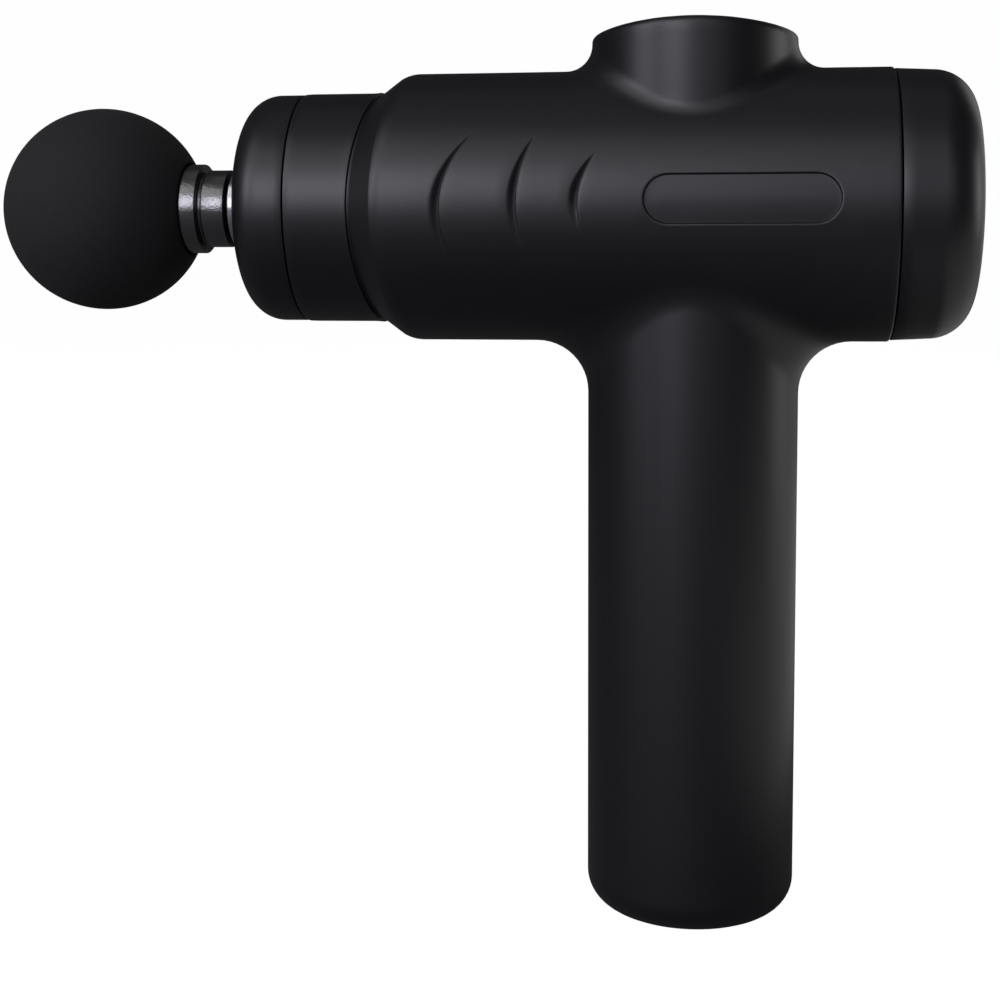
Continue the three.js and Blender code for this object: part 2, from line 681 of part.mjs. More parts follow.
function powerRocker() {
  const housing = solid(box(-4.2, 4.2, -7, 7, 0.1, 11)).subtract(solid(box(-3.5, 3.5, -6.3, 6.3, -5, 9.8)));
  const outline = new THREE.Shape();
  outline.moveTo(-5.6, -3);
  for (const [y, z] of [[0, -2.4], [5.6, -3], [5.2, 1.5], [1.5, 3.2], [-1.5, 3.2], [-5.2, 1.5]]) outline.lineTo(y, z);
  outline.closePath();
  // the outline's plane is turned from XY to YZ, and the rocker is centred on its pivot
  const rocker = plate(outline, -3.2, 6.4).rotateZ(Math.PI / 2).rotateY(Math.PI / 2);
  const parts = [
    mesh("rocker_housing", geometryOf(housing), LOOK.darkPlastic),
    mesh("power_rocker", rocker, LOOK.gloss),
  ];
  parts[0].position.x = ROCKER_X;
  parts[1].position.set(ROCKER_X, 0, ROCKER_PIVOT_Z);
  parts[1].rotation.x = ROCKER_TILT;
  return parts;
}

function chargingJack() {
  const jack = latheZ([[0, 12], [4.8, 12], [4.8, 0.2], [3.2, 0.2], [3.2, 9.8], [1, 9.8], [1, 1.8], [0, 1.4]], MEDIUM);
  const m = mesh("charging_jack", jack, LOOK.darkPlastic);
  m.position.x = JACK_X;
  return m;
}

const LEAD_X = 18.3;
const LEAD_Y = [-2.6, 2.6];
function withLeadHoles(geometry) {
  let piece = solid(geometry);
  for (const y of LEAD_Y) piece = piece.subtract(solid(rodZ(2.1, -50, 250, 12).translate(LEAD_X, y, 0)));
  return geometryOf(piece);
}

function batteryPack() {
  const parts = [];
  const floor = 2;
  const strip = 0.4;
  const lower = PACK_Z + floor + strip + 2 * GAP;
  const upper = lower + CELL_H + strip + 2 * GAP;
  const top = upper + CELL_H;
  const inner = PACK_R - 1.7;
  const bottomCup = latheZ([[0, PACK_Z], [PACK_R, PACK_Z], [PACK_R, PACK_Z + 10], [inner, PACK_Z + 10],
    [inner, PACK_Z + floor], [0, PACK_Z + floor]], MEDIUM);
  const lidZ = top + strip + 2 * GAP;
  const topCup = latheZ([[0, lidZ], [inner, lidZ], [inner, lidZ - 8], [PACK_R, lidZ - 8], [PACK_R, lidZ + 1.2],
    [0, lidZ + 1.2]], MEDIUM);
  parts.push(mesh("battery_holder_bottom", withLeadHoles(bottomCup), LOOK.darkPlastic));
  parts.push(mesh("battery_holder_top", withLeadHoles(topCup), LOOK.darkPlastic));
  parts.push(mesh("battery_holder_middle", ringZ(inner, PACK_R, upper - 7, upper + 6, MEDIUM), LOOK.darkPlastic));

  const angles = [60, 180, 300].map(THREE.MathUtils.degToRad);
  const cell = latheZ([[0, 0], [CELL_R - 0.2, 0], [CELL_R, 0.4], [CELL_R, 61], [CELL_R - 0.5, 61.8], [CELL_R, 62.6],
    [CELL_R, 64.4], [2.9, 64.4], [2.9, CELL_H], [0, CELL_H]], FINE);
  [lower, upper].forEach((z, layer) => angles.forEach((angle, k) => {
    const m = mesh(`battery_cell_${3 * layer + k + 1}`, cell, LOOK.cell);
    m.position.set(CELL_PITCH * Math.cos(angle), CELL_PITCH * Math.sin(angle), z);
    parts.push(m);
  }));

  const outline = new THREE.Shape();
  const reach = Math.PI / 3;
  for (const a of angles) {
    outline.absarc(CELL_PITCH * Math.cos(a), CELL_PITCH * Math.sin(a), 5.5, a - reach, a + reach);
  }
  outline.closePath();
  [lower, upper, top + strip + 2 * GAP].forEach((z, i) => {
    parts.push(mesh(`nickel_strip_${i + 1}`, plate(outline, z - GAP - strip, strip, 4), LOOK.nickel));
  });
  parts.push(mesh("battery_board", rodZ(20, BATTERY_BOARD_Z, BATTERY_BOARD_Z + BOARD_T, MEDIUM), LOOK.board));

  LEAD_Y.forEach((y, i) => {
    const route = [[LEAD_X, y, BATTERY_BOARD_Z + BOARD_T + GAP], [LEAD_X, y, 60], [LEAD_X, y, 110],
      [LEAD_X, y, lidZ + 0.4], [LEAD_X + 1.2, y, lidZ + 2.4], [LEAD_X + 5, y, lidZ + 3], [40, y, lidZ + 6],
      [CONTROL_BOARD_X - GAP, y, lidZ + 7]];
    parts.push(mesh(`battery_lead_${i + 1}`, lead(route, 1, 40), i ? LOOK.redLead : LOOK.blackLead));
  });
  return parts;
}

// ---------------------------------------------------------------- assembly
const gun = new THREE.Group();

const barrel = new THREE.Group();
barrel.position.z = BARREL_Z;
barrel.add(...bodyShells(), noseCap(), rearCap(), ...rearDisplay(), controlBoard());
barrel.add(headBall(), headStem(), ...oRings());
barrel.add(plunger(), ...connectingRod(), crankDisc(), driveFrame(), ...barrelRings(), ...sideDampers());
barrel.add(motorBase(), ...motorScrews(), ...stator(), ...rotor(), ...motorLeads());
gun.add(barrel);

const handle = new THREE.Group();
handle.add(endPlate(), ...powerRocker(), chargingJack(), ...batteryPack());
gun.add(handle);

export default gun;
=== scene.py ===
"""Massage gun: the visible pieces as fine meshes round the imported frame, with procedural materials."""
import json
import math
import bpy
import numpy as np
from mathutils import Matrix, Vector


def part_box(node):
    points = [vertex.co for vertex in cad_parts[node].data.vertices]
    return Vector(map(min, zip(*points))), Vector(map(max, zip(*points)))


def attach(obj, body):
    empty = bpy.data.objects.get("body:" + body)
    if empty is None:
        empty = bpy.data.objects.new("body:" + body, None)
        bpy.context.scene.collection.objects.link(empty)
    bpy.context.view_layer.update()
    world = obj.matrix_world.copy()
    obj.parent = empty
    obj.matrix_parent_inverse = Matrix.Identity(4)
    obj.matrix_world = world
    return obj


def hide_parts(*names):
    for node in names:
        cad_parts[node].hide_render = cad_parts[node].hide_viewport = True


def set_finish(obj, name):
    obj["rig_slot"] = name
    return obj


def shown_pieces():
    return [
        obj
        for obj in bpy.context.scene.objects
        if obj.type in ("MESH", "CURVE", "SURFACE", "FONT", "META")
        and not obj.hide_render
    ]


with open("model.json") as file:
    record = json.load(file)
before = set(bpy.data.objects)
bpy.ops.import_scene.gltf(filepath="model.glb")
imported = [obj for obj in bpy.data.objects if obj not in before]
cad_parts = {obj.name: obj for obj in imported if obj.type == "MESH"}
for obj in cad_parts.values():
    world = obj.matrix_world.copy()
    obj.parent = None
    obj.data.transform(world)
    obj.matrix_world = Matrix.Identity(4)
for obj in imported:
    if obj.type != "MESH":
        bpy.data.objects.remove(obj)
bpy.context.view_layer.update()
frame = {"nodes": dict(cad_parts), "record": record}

# ------------------------------------------------------------------ sizes, in millimetres
# A piece is modelled in barrel coordinates: x along the barrel, z = 0 on the barrel's axis.
MM = 0.001


def box_mm(node):
    low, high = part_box(node)
    return np.array(low) / MM, np.array(high) / MM


nose_low, nose_high = box_mm("nose_cap")
rear_low, rear_high = box_mm("rear_cap")
shell_low, shell_high = box_mm("body_shell_near")
ball_low, ball_high = box_mm("head_ball")
stem_low, stem_high = box_mm("head_stem")
plunger_low, plunger_high = box_mm("plunger")
plate_low, plate_high = box_mm("handle_end_plate")
lens_low, lens_high = box_mm("display_lens")
rocker_low, rocker_high = box_mm("rocker_housing")
jack_low, jack_high = box_mm("charging_jack")

AXIS_Z = (nose_low[2] + nose_high[2]) / 2
GAP = 0.3
WALL = 2.2

BARREL_R = -shell_low[1]
FRONT_R = 27.7
BODY_FRONT_X = shell_low[0]
BODY_REAR_X = shell_high[0]
FLARE_X = -75.2
FLARE_SWEEP = 3.8
FLARE_RISE = 36.0  # steepness of the flare, degrees
FLARE_CREASE = 27.0  # steepness just after its crease, where the round begins
FLARE_ROUND = 8.0
HANDLE_R = 25.2
HANDLE_EDGE = 7.8
HANDLE_FILLET = 12.4
BUMP_R = 24.3
BUMP_TOP = 42.45
BUMP_EDGE = 1.6
BUMP_ARCH = 120.0  # radius of the top's arch, seen from the side
BUMP_FILLET = 6.2
SEAM = 0.15  # half the hairline gap between the two halves
SEAM_LIP = 0.2  # how far the seam's lips are drawn in
PLATE_OPENING = 16.0  # radius of the opening under the handle
COLLAR_SINK = 1.9  # how far the head's collar is let into the ball

# ------------------------------------------------------------------ mesh helpers


class Skin:
    """Collects vertices and faces of one piece, in barrel coordinates."""

    def __init__(self):
        self.points = []
        self.faces = []

    def add(self, point):
        self.points.append(tuple(point))
        return len(self.points) - 1

    def grid(self, rows):
        """Quads between consecutive rows of vertex numbers. None leaves a gap."""
        for a, b in zip(rows, rows[1:]):
            for i in range(len(a) - 1):
                quad = [a[i], a[i + 1], b[i + 1], b[i]]
                loop = [v for k, v in enumerate(quad) if v != quad[k - 1]]
                if len(loop) > 2:
                    self.faces.append(loop)

    def mirrored(self):
        other = Skin()
        other.points = [(x, -y, z) for x, y, z in self.points]
        other.faces = [face[::-1] for face in self.faces]
        return other

    def build(self, name, body, replaces=(), lift=None, sharp=32.0, slot=None):
        """Makes the object: faces pointing out, smooth shading with sharp edges kept."""
        lift = AXIS_Z if lift is None else lift
        mesh = bpy.data.meshes.new(name)
        points = (np.array(self.points) + (0, 0, lift)) * MM
        mesh.from_pydata(points.tolist(), [], self.faces)
        mesh.update()
        mesh.validate()
        mesh.polygons.foreach_set("use_smooth", [True] * len(mesh.polygons))
        mesh.set_sharp_from_angle(angle=math.radians(sharp))
        piece = bpy.data.objects.new(name, mesh)
        bpy.context.scene.collection.objects.link(piece)
        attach(piece, body)
        if replaces:
            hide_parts(*replaces)
        if slot:
            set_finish(piece, slot)
        return piece


def arc(centre_r, centre_h, radius, start, end, steps):
    """Points of an arc in a profile's (radius, height) plane, angles in degrees."""
    angles = np.radians(np.linspace(start, end, steps + 1))
    return [(centre_r + radius * math.cos(a), centre_h + radius * math.sin(a)) for a in angles]


def softened(profile, radius=0.2, steps=3):
    """A closed or open profile with its sharp corners rounded by a small radius."""
    result = [profile[0]]
    for before, corner, after in zip(profile, profile[1:], profile[2:]):
        b, c, a = (np.array(p, float) for p in (before, corner, after))
        u, v = b - c, a - c
        lu, lv = np.linalg.norm(u), np.linalg.norm(v)
        if lu < 1e-6 or lv < 1e-6:
            continue
        cosine = float(np.dot(u, v) / lu / lv)
        if cosine < -0.94:
            result.append(corner)
            continue
        cut = min(radius, 0.45 * lu, 0.45 * lv)
        p, q = c + u / lu * cut, c + v / lv * cut
        for t in np.linspace(0, 1, steps + 1):
            result.append(tuple((1 - t) ** 2 * p + 2 * t * (1 - t) * c + t * t * q))
    result.append(profile[-1])
    return result


def revolve(profile, axis, segments=128, centre=(0.0, 0.0)):
    """A solid of revolution. Profile points are (radius, height along the axis)."""
    skin = Skin()
    rows = []
    for r, h in profile:
        if r < 1e-6:
            place = (h, 0, 0) if axis == "x" else (centre[0], centre[1], h)
            rows.append([skin.add(place)] * (segments + 1))
            continue
        row = []
        for k in range(segments):
            a = 2 * math.pi * k / segments
            c, s = r * math.cos(a), r * math.sin(a)
            row.append(skin.add((h, c, s) if axis == "x" else (centre[0] + c, centre[1] + s, h)))
        rows.append(row + row[:1])
    if np.allclose(profile[0], profile[-1]):
        rows[-1] = rows[0]
        del skin.points[len(skin.points) - segments:]
    skin.grid(rows)
    return facing_out(skin)


def facing_out(skin):
    """Turns a closed skin's faces outward by the sign of its volume."""
    p = np.array(skin.points)
    volume = 0.0
    for face in skin.faces:
        for k in range(1, len(face) - 1):
            volume += float(np.dot(p[face[0]], np.cross(p[face[k]], p[face[k + 1]])))
    if volume < 0:
        skin.faces = [face[::-1] for face in skin.faces]
    return skin


# ------------------------------------------------------------------ the body halves
STEP = 2.0  # degrees between the barrel's lengthwise grid lines
COLUMN = 1.5  # millimetres between its cross lines, at most
BUMP_PATCH = (38.0, 34.0)  # half length along x, and the angle it reaches down to
HANDLE_PATCH = (44.0, -30.0)
RECESS_PATCH = (-13.0, 36.0, -12.0, 18.0)
RECESS = dict(start=-10.5, end=33.2, z=1.4, half=5.65, depth=0.6)
# moon grooves: right edge x = front + bow * (angle - turn)^2, from angle low to high
GROOVES = [
    dict(patch=(-60.5, -46.0), front=-56.7, turn=-1.0, up=0.0074, down=0.0048,
         low=-25, high=32.0, width=2.2),
    dict(patch=(-43.5, -32.5), front=-39.2, turn=1.0, up=0.0053, down=0.0054,
         low=-17.5, high=29.5, width=2.1),
    dict(patch=(-29.5, -19.0), front=-25.35, turn=0.5, up=0.0094, down=0.0065,
         low=-10.5, high=21.8, width=2.1),
]
GROOVE_DEPTH = 1.0
GROOVE_WALL = 0.3  # how far the steep wall leans
GROOVE_LIP = 0.18  # height of the soft lip beyond the wall


def between(start, end, step):
    count = max(1, math.ceil((end - start) / step))
    return list(np.linspace(start, end, count + 1))


def flare_profile():
    """(x, radius) of the barrel's outside, up to where it is a plain cylinder."""
    rise, crease = math.radians(FLARE_RISE), math.radians(FLARE_CREASE)
    foot = FRONT_R - 0.45
    foot_x = FLARE_X + 0.5
    top_r = BARREL_R - FLARE_ROUND * (1 - math.cos(crease))
    top_x = foot_x + (top_r - foot) / math.tan(rise)
    points = [(BODY_FRONT_X, FRONT_R - 0.3), (BODY_FRONT_X + 0.1, FRONT_R - 0.1)]
    points += [(BODY_FRONT_X + 0.3, FRONT_R)]
    points += [(x, FRONT_R + 0.05) for x in between(BODY_FRONT_X + 2, FLARE_X - 2.4, 2.5)]
    points += [(FLARE_X - 1.6, FRONT_R + 0.07), (FLARE_X - 0.9, FRONT_R + 0.12)]
    points += [(FLARE_X - 0.35, FRONT_R + 0.18)]
    points += [(FLARE_X - 0.12, FRONT_R + 0.16), (FLARE_X, FRONT_R + 0.03)]
    points += [(FLARE_X + 0.07, foot + 0.15), (FLARE_X + 0.15, foot + 0.04), (FLARE_X + 0.3, foot + 0.02)]
    points += [(foot_x + 0.05, foot + 0.08), (foot_x + 0.25, foot + 0.2)]
    along = top_x - foot_x
    points += [(foot_x + t, foot + t * math.tan(rise)) for t in np.linspace(0.6, along - 0.15, 7)]
    centre_x = top_x + FLARE_ROUND * math.sin(crease)
    for turn in crease * np.array([1, 0.97, 0.8, 0.6, 0.4, 0.2, 0]):
        sunk = FLARE_ROUND * (1 - math.cos(turn))
        points.append((centre_x - FLARE_ROUND * math.sin(turn), BARREL_R - sunk))
    return points


def barrel_lines():
    """x lines of the barrel's grid, with the radius at each, and which ones sweep with the flare."""
    profile = flare_profile()
    groove_edges = [x for g in GROOVES for x in g["patch"]]
    stops = sorted({-BUMP_PATCH[0], BUMP_PATCH[0], -HANDLE_PATCH[0], HANDLE_PATCH[0],
                    RECESS_PATCH[0], RECESS_PATCH[1], *groove_edges, BODY_REAR_X - 0.6})
    lines = list(profile)
    for start, end in zip(stops, stops[1:]):
        fine = any(start >= g["patch"][0] and end <= g["patch"][1] for g in GROOVES)
        lines += [(x, BARREL_R) for x in between(start, end, COLUMN / 2 if fine else COLUMN)[:-1]]
    lines += [(BODY_REAR_X - 0.6, BARREL_R), (BODY_REAR_X - 0.3, BARREL_R - 0.03)]
    lines += [(BODY_REAR_X - 0.1, BARREL_R - 0.12), (BODY_REAR_X, BARREL_R - 0.3)]
    x = np.array([p[0] for p in lines])
    r = np.array([p[1] for p in lines])
    swept = np.interp(x, [BODY_FRONT_X + 2, FLARE_X - 1.6, profile[-1][0], stops[0]], [0, 1, 1, 0])
    return x, r, swept


def on_barrel(x, angle, radius):
    """A point of the near half, kept clear of the middle plane by the seam."""
    a = math.radians(angle)
    return x, min(-radius * math.cos(a), -SEAM), radius * math.sin(a)


def barrel_half():
    skin = Skin()
    xs, radii, swept = barrel_lines()
    angles = [-90.0, -89.4, *np.arange(-88.0, 89.0, STEP), 89.4, 90.0]

    def cell_is_open(x, angle):
        """True where a patch replaces the plain grid."""
        if abs(x) < BUMP_PATCH[0] and angle > BUMP_PATCH[1]:
            return True
        if abs(x) < HANDLE_PATCH[0] and angle < HANDLE_PATCH[1]:
            return True
        x0, x1, a0, a1 = RECESS_PATCH
        if x0 < x < x1 and a0 < angle < a1:
            return True
        inside = [g["patch"][0] < x < g["patch"][1] for g in GROOVES]
        return any(inside) and HANDLE_PATCH[1] < angle < BUMP_PATCH[1]

    number = {}
    used = set()
    cells = []
    for j in range(len(angles) - 1):
        for i in range(len(xs) - 1):
            if cell_is_open((xs[i] + xs[i + 1]) / 2, (angles[j] + angles[j + 1]) / 2):
                continue
            cells.append((i, j))
            used |= {(i, j), (i + 1, j), (i, j + 1), (i + 1, j + 1)}
    for j in (angles.index(BUMP_PATCH[1]), angles.index(HANDLE_PATCH[1])):
        used |= {(i, j) for i in range(len(xs))}
    for i, j in sorted(used):
        edge = 0.2 if abs(angles[j]) > 89.9 else 0.0
        side = math.cos(math.radians(angles[j])) ** 2
        x = xs[i] - FLARE_SWEEP * side * swept[i]
        number[i, j] = skin.add(on_barrel(x, angles[j], radii[i] - edge))
    for i, j in cells:
        skin.faces.append([number[i, j], number[i + 1, j], number[i + 1, j + 1], number[i, j + 1]])

    def column(x):
        return int(np.argmin(abs(xs - x)))

    def row(angle):
        return int(np.argmin([abs(a - angle) for a in angles]))

    def rim(x0, x1, a0, a1):
        """Grid places round a patch: up the low-x side, along the top, down the high-x side."""
        i0, i1, j0, j1 = column(x0), column(x1), row(a0), row(a1)
        left = [(i0, j) for j in range(j0, j1)]
        top = [(i, j1) for i in range(i0, i1)]
        right = [(i1, j) for j in range(j1, j0, -1)]
        bottom = [(i, j0) for i in range(i1, i0, -1)]
        return left, top, right, bottom

    place = lambda key: (xs[key[0]], angles[key[1]])
    post_patch(skin, number, rim, place, "bump")
    post_patch(skin, number, rim, place, "handle")
    recess_patch(skin, number, rim, place)
    for groove in GROOVES:
        groove_patch(skin, number, groove, xs, angles, column, row)
    return skin


def post_patch(skin, number, rim, place, which):
    """The bump or the handle, its fillet, and the barrel's surface out to the patch's edge."""
    above = which == "bump"
    side = 1 if above else -1
    post_r, ball = (BUMP_R, BUMP_FILLET) if above else (HANDLE_R, HANDLE_FILLET)
    reach, limit = BUMP_PATCH if above else HANDLE_PATCH
    if above:
        left, top, right, bottom = rim(-reach, reach, limit, 90)
        walk = [(left + top[:1])[-1]] + left[::-1] + bottom[::-1] + right[::-1]
    else:
        left, top, right, bottom = rim(-reach, reach, -90, limit)
        walk = left + top + right + bottom[:1]
    columns = []
    for key in walk:
        x, angle = place(key)
        aside = math.radians(90 - side * angle) * BARREL_R
        phi = math.pi + math.atan2(aside, -x)
        columns.append(post_column(phi, side, post_r, ball, x, angle, above))
    rows = []
    for level in range(len(columns[0])):
        rows.append([])
        for k, points in enumerate(columns):
            x, y, z = points[level]
            y -= SEAM * max(0.0, 1 + y / post_r)
            if k in (0, len(columns) - 1):
                beside = columns[1 if k == 0 else -2][level][1]
                draw = SEAM_LIP * min(max((-beside - 0.1) / 0.3, 0.0), 1.0)
                x, y, z = seam_point(level, points, 1 if k == 0 else -1, above, draw)
            rows[-1].append(skin.add((x, y, z)))
    rows.append([number[key] for key in walk])
    if above:
        centre = skin.add((0, -SEAM, BUMP_TOP))
        rows.insert(0, [centre] * len(walk))
    before = len(skin.faces)
    skin.grid(rows)
    if above:
        skin.faces[before:] = [face[::-1] for face in skin.faces[before:]]


def seam_point(level, points, side, above, draw):
    """A seam-edge vertex, drawn a little into the solid so that the hairline has soft lips."""
    x, _, z = points[level]
    before = points[max(level - 1, 0)]
    after = points[min(level + 1, len(points) - 1)]
    tx, tz = after[0] - before[0], after[2] - before[2]
    length = math.hypot(tx, tz) or 1.0
    turn = -side if above else side
    return x + draw * turn * tz / length, -SEAM, z - draw * turn * tx / length


def post_column(phi, side, post_r, ball, rim_x, rim_angle, above):
    """Points from the post's far end to just before the patch's rim, in the plane of phi."""
    c, s = math.cos(phi), math.sin(phi)
    reach, meet = post_r + ball, 0.0
    height = lambda d: math.sqrt((BARREL_R + ball) ** 2 - (d * s) ** 2)
    if above:
        # the fillet's ball touches the rounded top edge itself where the barrel is that high
        outline, shoulder = bump_profile(c)
        flat = BUMP_R - BUMP_EDGE
        for _ in range(20):
            over = max(height(reach) - shoulder, 0.0)
            reach = flat + math.sqrt((ball + BUMP_EDGE) ** 2 - over ** 2)
        meet = math.degrees(math.asin(over / (ball + BUMP_EDGE)))
    centre = np.array([reach * c, reach * s, side * height(reach)])
    points = []
    if above:
        outline += arc(flat, shoulder, BUMP_EDGE, top_angle(c), meet, 12)
        if not meet:
            outline.append((post_r, centre[2]))
        points += [(r * c, r * s, z) for r, z in evened(outline, 24)]
    else:
        foot = -AXIS_Z
        opening = PLATE_OPENING
        profile = [(opening, foot + 0.25), (opening + 0.08, foot + 0.08), (opening + 0.25, foot)]
        profile += [(HANDLE_R - HANDLE_EDGE, foot)]
        profile += arc(HANDLE_R - HANDLE_EDGE, foot + HANDLE_EDGE, HANDLE_EDGE, -90, 0, 12)[1:]
        points += [(r * c, r * s, z) for r, z in profile]
        base = foot + HANDLE_EDGE
        for t in np.linspace(0, 1, 10)[1:]:
            points.append((post_r * c, post_r * s, base + (centre[2] - base) * t))
    turn = math.radians(meet)
    to_post = np.array([-c * math.cos(turn), -s * math.cos(turn), -math.sin(turn)])
    to_barrel = np.array([0.0, -centre[1], -centre[2]])
    to_barrel /= np.linalg.norm(to_barrel)
    turn = math.acos(np.clip(np.dot(to_post, to_barrel), -1, 1))
    steps = 12
    for t in np.linspace(0, 1, steps + 1)[1:]:
        d = (math.sin((1 - t) * turn) * to_post + math.sin(t * turn) * to_barrel) / math.sin(turn)
        points.append(tuple(centre + ball * d))
    x, y, z = points[-1]
    angle = math.degrees(math.atan2(z, -y))
    for t in (0.33, 0.67):
        points.append(on_barrel(x + (rim_x - x) * t, angle + (rim_angle - angle) * t, BARREL_R))
    return points


def evened(outline, count):
    """The same outline with points closer together where it bends."""
    p = np.array(outline)
    step = np.hypot(*np.diff(p, axis=0).T)
    turn = np.abs(np.gradient(np.unwrap(np.arctan2(*np.diff(p, axis=0).T))))
    weight = np.concatenate([[0], np.cumsum(step + 6 * turn)])
    at = np.linspace(0, weight[-1], count)
    return list(zip(np.interp(at, weight, p[:, 0]), np.interp(at, weight, p[:, 1])))


def top_angle(c):
    """Angle of the bump's top normal at its rim, in degrees, in the plane whose x share is c."""
    return 90 - math.degrees(math.atan(BUMP_R * c * c / BUMP_ARCH))


def bump_profile(c):
    """The arched top from near its centre to its rounded edge, and the height of that edge's centre."""
    lean = math.radians(top_angle(c))
    rim_r = BUMP_R - BUMP_EDGE + BUMP_EDGE * math.cos(lean)
    top = lambda r: BUMP_TOP - (r * c) ** 2 / 2 / BUMP_ARCH
    points = [(r, top(r)) for r in np.linspace(0.5, rim_r, 14)[:-1]]
    return points, top(rim_r) - BUMP_EDGE * math.sin(lean)


def recess_patch(skin, number, rim, place):
    """The shallow recess with round ends. Its floor follows the barrel."""
    left, top, right, bottom = rim(*RECESS_PATCH)
    walk = left + top + right + bottom
    half, zc = RECESS["half"], RECESS["z"]
    x0, x1 = RECESS["start"] + half, RECESS["end"] - half
    depth = RECESS["depth"]
    levels = [(0.5, 0.0), (0.1, 0.0), (0.0, 0.05), (-0.07, 0.2), (-0.16, depth - 0.12),
              (-0.26, depth - 0.02), (-0.45, depth), (-1.2, depth), (0.9 - half, depth)]
    rows = [[number[key] for key in walk]]
    spines = []
    for key in walk:
        x, angle = place(key)
        z = BARREL_R * math.sin(math.radians(angle))
        cx = min(max(x, x0), x1)
        direction = np.array([x - cx, z - zc])
        spines.append((cx, direction / np.linalg.norm(direction)))
    for offset, sink in levels:
        row = []
        for cx, d in spines:
            x, z = np.array([cx, zc]) + d * (half + offset)
            row.append(skin.add(on_barrel(x, math.degrees(math.asin(z / BARREL_R)), BARREL_R - sink)))
        rows.append(row)
    before = len(skin.faces)
    skin.grid([r + r[:1] for r in rows])
    # close the floor: quads between the facing long sides, then one polygon at each end
    inner = rows[-1]
    count = len(walk)
    n_left, n_top, n_right = len(left), len(top), len(right)

    def straight(k):
        return x0 - 1e-6 <= place(walk[k % count])[0] <= x1 + 1e-6

    upper = [k for k in range(n_left, n_left + n_top + 1) if straight(k)]
    lower = [k for k in range(n_left + n_top + n_right, count) if straight(k)][::-1]
    for a, b, c, d in zip(upper, upper[1:], lower[1:], lower):
        skin.faces.append([inner[a], inner[b], inner[c], inner[d]])
    skin.faces.append([inner[k % count] for k in range(lower[0], upper[0] + count + 1)])
    skin.faces.append([inner[k % count] for k in range(upper[-1], lower[-1] + 1)])
    skin.faces[before:] = [face[::-1] for face in skin.faces[before:]]


def groove_patch(skin, number, groove, xs, angles, column, row):
    """A thin moon: a soft slope on its low-x side, deepest at a steep wall on its high-x side."""
    i0, i1 = column(groove["patch"][0]), column(groove["patch"][1])
    j0, j1 = row(HANDLE_PATCH[1]), row(BUMP_PATCH[1])
    n, m = i1 - i0, j1 - j0
    low, high = groove["low"], groove["high"]
    # the profile across: (place, share of the depth); places are widths before the wall's foot,
    # then millimetres beyond it
    slope = [(-1.0, 0.0), (-0.86, 0.05), (-0.7, 0.2), (-0.5, 0.5), (-0.32, 0.77), (-0.16, 0.94), (0.0, 1.0)]
    beyond = [(0.06, 0.93), (GROOVE_WALL, GROOVE_LIP), (GROOVE_WALL + 0.15, 0.11),
              (GROOVE_WALL + 0.55, 0.02), (GROOVE_WALL + 0.8, 0.0)]
    count = len(slope) + len(beyond)
    first = max(1, (n - count) // 2 - 1)
    # rows between the tips follow the grooved angles, the others spread evenly to the patch's edges
    below = int(np.argmin([abs(a - low) for a in angles])) - j0
    above = int(np.argmin([abs(a - high) for a in angles])) - j0
    above = min(above, m - 1)
    rows = []
    for j in range(m + 1):
        grid_angle = angles[j0 + j]
        share = (j - below) / (above - below)
        inside = 0 <= share <= 1
        angle_here = low + (high - low) * share if inside else grid_angle
        if not inside:
            near, far = (low, angles[j0]) if share < 0 else (high, angles[j1])
            part = (below - j) / below if share < 0 else (j - above) / (m - above)
            angle_here = near + (far - near) * part
        limited = min(max(angle_here, low), high)
        bend = groove["up"] if limited > groove["turn"] else groove["down"]
        wall_x = groove["front"] + bend * (limited - groove["turn"]) ** 2
        share = min(max(share, 0), 1)
        swell = max(math.sin(math.pi * share ** 0.8), 0.0) ** 0.8
        fade = min(1.0, 0.1 + share * 1.7)
        width = 0.25 + (groove["width"] - 0.25) * swell
        calm = 1.0
        if angle_here < low or angle_here > high:
            edge = angles[j0] if angle_here < low else angles[j1]
            tip = low if angle_here < low else high
            calm = abs(edge - angle_here) / abs(edge - tip)
        places = [(wall_x + width * at, depth) for at, depth in slope]
        places += [(wall_x + at * (0.4 + 0.6 * swell), depth) for at, depth in beyond]
        line = []
        for k in range(n + 1):
            key = (i0 + k, j0 + j)
            if k in (0, n) or j in (0, m):
                line.append(number[key])
                continue
            depth = 0.0
            if k < first:
                x = xs[i0] + (places[0][0] - xs[i0]) * k / first
            elif k < first + count:
                x, depth = places[k - first]
            else:
                rest = first + count - 1
                x = places[-1][0] + (xs[i1] - places[-1][0]) * (k - rest) / (n - rest)
            x = xs[i0 + k] + (x - xs[i0 + k]) * calm
            depth *= GROOVE_DEPTH * swell * fade
            line.append(skin.add(on_barrel(x, angle_here, BARREL_R - depth)))
        rows.append(line)
    skin.grid(rows)


def make_body():
    near = barrel_half()
    for name, skin in (("near", near), ("far", near.mirrored())):
        piece = skin.build(f"shell_{name}", "housing", [f"body_shell_{name}"], slot="soft_touch_shell")
        thick = piece.modifiers.new("wall", "SOLIDIFY")
        thick.thickness = WALL * MM
        thick.offset = -1
        thick.use_even_offset = False
        yield piece


